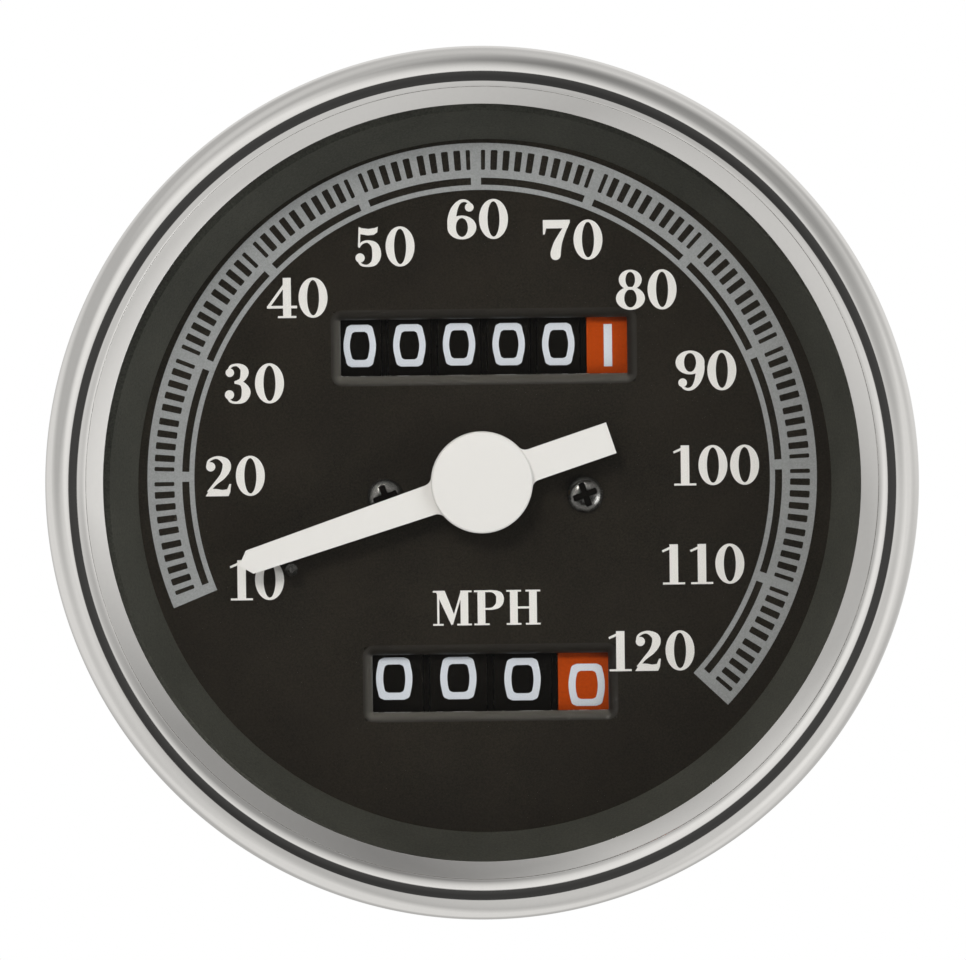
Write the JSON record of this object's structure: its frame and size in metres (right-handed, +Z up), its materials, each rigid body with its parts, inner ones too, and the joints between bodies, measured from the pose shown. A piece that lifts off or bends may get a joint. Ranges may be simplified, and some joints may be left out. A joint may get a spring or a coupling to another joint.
{
  "type": "motorcycle speedometer",
  "caption": "Round magnetic speedometer in a bright bezel, with a black dial, white pointer, mileage and trip drum counters, cable gland and rear studs.",
  "frame": {"origin": "midway between the two mounting studs, on the plane of their shoulders, where a bracket sits", "axes": "-Y out of the dial towards the reader, +X to the reader's right, +Z up to 12 o'clock"},
  "size_m": [0.086, 0.073, 0.086],
  "materials": {
    "black_paint": "semi-gloss stoved paint",
    "chrome": "bright plate",
    "clear_glass": "clear",
    "black_rubber": "matt",
    "grey_green_paint": "matt",
    "dial_black": "matt print",
    "black_screw": "black oxide",
    "white_paint": "satin",
    "brass": "turned",
    "steel": "ground",
    "bare_aluminium": "spun",
    "zinc_casting": "as cast",
    "magnet_iron": "sintered",
    "white_nylon": "moulded",
    "black_plastic": "moulded",
    "zinc_steel": "zinc plated",
    "bulb_glass": "clear",
    "orange_wheel": "moulded",
    "black_wheel": "moulded",
    "scale_ink": "matt print",
    "numeral_ink": "matt print",
    "drum_ink": "matt print"
  },
  "bodies": {
    "case_body": {"rear_case": "black_paint", "bezel": "chrome", "lens": "clear_glass", "lens_gasket": "black_rubber", "trim_ring": "grey_green_paint", "dial": "dial_black", "dial_screws": "black_screw", "stop_pin": "black_screw", "hairspring": "steel", "hairspring_stud": "brass", "bridge": "zinc_casting", "bridge_bush": "brass", "bridge_screws": "steel", "mechanism_frame": "zinc_casting", "frame_screws": "zinc_steel", "field_ring": "steel", "drive_gland": "zinc_casting", "drive_bush": "brass", "idler_pin": "steel", "carrier_rods": "steel", "odometer_carriers": "black_plastic", "trip_carriers": "black_plastic", "mounting_studs": "zinc_steel", "stud_nuts": "zinc_steel", "lamp_sockets": "black_rubber", "lamp_bulbs": "bulb_glass"},
    "pointer_body": {"pointer": "white_paint", "pointer_bush": "brass", "pointer_spindle": "steel", "speed_cup": "bare_aluminium", "hairspring_collet": "brass"},
    "drive_body": {"drive_shaft": "steel", "magnet": "magnet_iron"},
    "first_shaft_body": {"first_gear_shaft": "brass"},
    "second_shaft_body": {"second_gear_shaft": "brass"},
    "idler_body": {"idler_gear": "white_nylon"},
    "odometer_6_body": {"odometer_wheel_6": "orange_wheel", "odometer_shaft": "steel", "odometer_drive_gear": "white_nylon"},
    "trip_4_body": {"trip_wheel_4": "orange_wheel", "trip_drive_gear": "white_nylon"},
    "reset_body": {"reset_stem": "steel", "reset_knob": "black_plastic"},
    "trip_shaft_body": {"trip_shaft": "steel"},
    "odometer_5_body": {"odometer_wheel_5": "black_wheel"},
    "odometer_4_body": {"odometer_wheel_4": "black_wheel"},
    "odometer_3_body": {"odometer_wheel_3": "black_wheel"},
    "odometer_2_body": {"odometer_wheel_2": "black_wheel"},
    "odometer_1_body": {"odometer_wheel_1": "black_wheel"},
    "odometer_pinion_5_body": {"odometer_pinion_5": "white_nylon"},
    "odometer_pinion_4_body": {"odometer_pinion_4": "white_nylon"},
    "odometer_pinion_3_body": {"odometer_pinion_3": "white_nylon"},
    "odometer_pinion_2_body": {"odometer_pinion_2": "white_nylon"},
    "odometer_pinion_1_body": {"odometer_pinion_1": "white_nylon"},
    "trip_3_body": {"trip_wheel_3": "black_wheel"},
    "trip_2_body": {"trip_wheel_2": "black_wheel"},
    "trip_1_body": {"trip_wheel_1": "black_wheel"},
    "trip_pinion_3_body": {"trip_pinion_3": "white_nylon"},
    "trip_pinion_2_body": {"trip_pinion_2": "white_nylon"},
    "trip_pinion_1_body": {"trip_pinion_1": "white_nylon"}
  },
  "joints": [
    {"name": "drive_spin", "type": "hinge", "parent": "case_body", "child": "drive_body", "pos_m": [0, -0.0133, 0], "axis": [0, -1, 0], "continuous": true},
    {"name": "pointer_swing", "type": "hinge", "parent": "case_body", "child": "pointer_body", "pos_m": [0, -0.0443, 0], "axis": [0, 1, 0], "range_deg": [0, 240.8], "stiffness_Nm_per_rad": 0.00001, "springref_deg": -17.19, "deforming": ["hairspring"]},
    {"name": "reset_turn", "type": "hinge", "parent": "case_body", "child": "reset_body", "pos_m": [-0.02155, -0.0043, -0.0198], "axis": [0, -1, 0], "continuous": true},
    {"name": "first_shaft_spin", "type": "hinge", "parent": "case_body", "child": "first_shaft_body", "pos_m": [0, -0.0133, -0.006], "axis": [1, 0, 0], "continuous": true},
    {"name": "second_shaft_spin", "type": "hinge", "parent": "case_body", "child": "second_shaft_body", "pos_m": [0.02242, -0.0243, -0.012], "axis": [0, -1, 0], "continuous": true},
    {"name": "idler_spin", "type": "hinge", "parent": "case_body", "child": "idler_body", "pos_m": [0.018, -0.0323, -0.00323], "axis": [1, 0, 0], "continuous": true},
    {"name": "odometer_6_spin", "type": "hinge", "parent": "case_body", "child": "odometer_6_body", "pos_m": [0, -0.0377, 0.01335], "axis": [1, 0, 0], "continuous": true},
    {"name": "odometer_5_spin", "type": "hinge", "parent": "case_body", "child": "odometer_5_body", "pos_m": [0, -0.0377, 0.01335], "axis": [1, 0, 0], "continuous": true},
    {"name": "odometer_4_spin", "type": "hinge", "parent": "case_body", "child": "odometer_4_body", "pos_m": [0, -0.0377, 0.01335], "axis": [1, 0, 0], "continuous": true},
    {"name": "odometer_3_spin", "type": "hinge", "parent": "case_body", "child": "odometer_3_body", "pos_m": [0, -0.0377, 0.01335], "axis": [1, 0, 0], "continuous": true},
    {"name": "odometer_2_spin", "type": "hinge", "parent": "case_body", "child": "odometer_2_body", "pos_m": [0, -0.0377, 0.01335], "axis": [1, 0, 0], "continuous": true},
    {"name": "odometer_1_spin", "type": "hinge", "parent": "case_body", "child": "odometer_1_body", "pos_m": [0, -0.0377, 0.01335], "axis": [1, 0, 0], "continuous": true},
    {"name": "odometer_pinion_5_spin", "type": "hinge", "parent": "case_body", "child": "odometer_pinion_5_body", "pos_m": [0, -0.03274, 0.01335], "axis": [1, 0, 0], "continuous": true},
    {"name": "odometer_pinion_4_spin", "type": "hinge", "parent": "case_body", "child": "odometer_pinion_4_body", "pos_m": [0, -0.03274, 0.01335], "axis": [1, 0, 0], "continuous": true},
    {"name": "odometer_pinion_3_spin", "type": "hinge", "parent": "case_body", "child": "odometer_pinion_3_body", "pos_m": [0, -0.03274, 0.01335], "axis": [1, 0, 0], "continuous": true},
    {"name": "odometer_pinion_2_spin", "type": "hinge", "parent": "case_body", "child": "odometer_pinion_2_body", "pos_m": [0, -0.03274, 0.01335], "axis": [1, 0, 0], "continuous": true},
    {"name": "odometer_pinion_1_spin", "type": "hinge", "parent": "case_body", "child": "odometer_pinion_1_body", "pos_m": [0, -0.03274, 0.01335], "axis": [1, 0, 0], "continuous": true},
    {"name": "trip_4_spin", "type": "hinge", "parent": "case_body", "child": "trip_4_body", "pos_m": [0, -0.0377, -0.0198], "axis": [1, 0, 0], "continuous": true},
    {"name": "trip_3_spin", "type": "hinge", "parent": "case_body", "child": "trip_3_body", "pos_m": [0, -0.0377, -0.0198], "axis": [1, 0, 0], "continuous": true},
    {"name": "trip_2_spin", "type": "hinge", "parent": "case_body", "child": "trip_2_body", "pos_m": [0, -0.0377, -0.0198], "axis": [1, 0, 0], "continuous": true},
    {"name": "trip_1_spin", "type": "hinge", "parent": "case_body", "child": "trip_1_body", "pos_m": [0, -0.0377, -0.0198], "axis": [1, 0, 0], "continuous": true},
    {"name": "trip_pinion_3_spin", "type": "hinge", "parent": "case_body", "child": "trip_pinion_3_body", "pos_m": [0, -0.03274, -0.0198], "axis": [1, 0, 0], "continuous": true},
    {"name": "trip_pinion_2_spin", "type": "hinge", "parent": "case_body", "child": "trip_pinion_2_body", "pos_m": [0, -0.03274, -0.0198], "axis": [1, 0, 0], "continuous": true},
    {"name": "trip_pinion_1_spin", "type": "hinge", "parent": "case_body", "child": "trip_pinion_1_body", "pos_m": [0, -0.03274, -0.0198], "axis": [1, 0, 0], "continuous": true},
    {"name": "trip_shaft_turn", "type": "hinge", "parent": "case_body", "child": "trip_shaft_body", "pos_m": [0, -0.0377, -0.0198], "axis": [1, 0, 0], "continuous": true}
  ],
  "couplings": [
    {"joint": "first_shaft_spin", "follows": "drive_spin", "ratio": -0.071429},
    {"joint": "second_shaft_spin", "follows": "drive_spin", "ratio": -0.0044643},
    {"joint": "idler_spin", "follows": "drive_spin", "ratio": -0.00022321},
    {"joint": "odometer_6_spin", "follows": "drive_spin", "ratio": 0.00044643},
    {"joint": "odometer_5_spin", "follows": "drive_spin", "ratio": 0.000044643},
    {"joint": "odometer_4_spin", "follows": "drive_spin", "ratio": 0.0000044643},
    {"joint": "odometer_3_spin", "follows": "drive_spin", "ratio": 0.00000044643},
    {"joint": "odometer_2_spin", "follows": "drive_spin", "ratio": 0.000000044643},
    {"joint": "odometer_1_spin", "follows": "drive_spin", "ratio": 0.0000000044643},
    {"joint": "odometer_pinion_5_spin", "follows": "drive_spin", "ratio": 0.00014881},
    {"joint": "odometer_pinion_4_spin", "follows": "drive_spin", "ratio": 0.000014881},
    {"joint": "odometer_pinion_3_spin", "follows": "drive_spin", "ratio": 0.0000014881},
    {"joint": "odometer_pinion_2_spin", "follows": "drive_spin", "ratio": 0.00000014881},
    {"joint": "odometer_pinion_1_spin", "follows": "drive_spin", "ratio": 0.000000014881},
    {"joint": "trip_4_spin", "follows": "drive_spin", "ratio": 0.00044643},
    {"joint": "trip_3_spin", "follows": "drive_spin", "ratio": 0.000044643},
    {"joint": "trip_2_spin", "follows": "drive_spin", "ratio": 0.0000044643},
    {"joint": "trip_1_spin", "follows": "drive_spin", "ratio": 0.00000044643},
    {"joint": "trip_pinion_3_spin", "follows": "drive_spin", "ratio": 0.00014881},
    {"joint": "trip_pinion_2_spin", "follows": "drive_spin", "ratio": 0.000014881},
    {"joint": "trip_pinion_1_spin", "follows": "drive_spin", "ratio": 0.0000014881},
    {"joint": "trip_shaft_turn", "follows": "reset_turn", "ratio": 1.25}
  ]
}
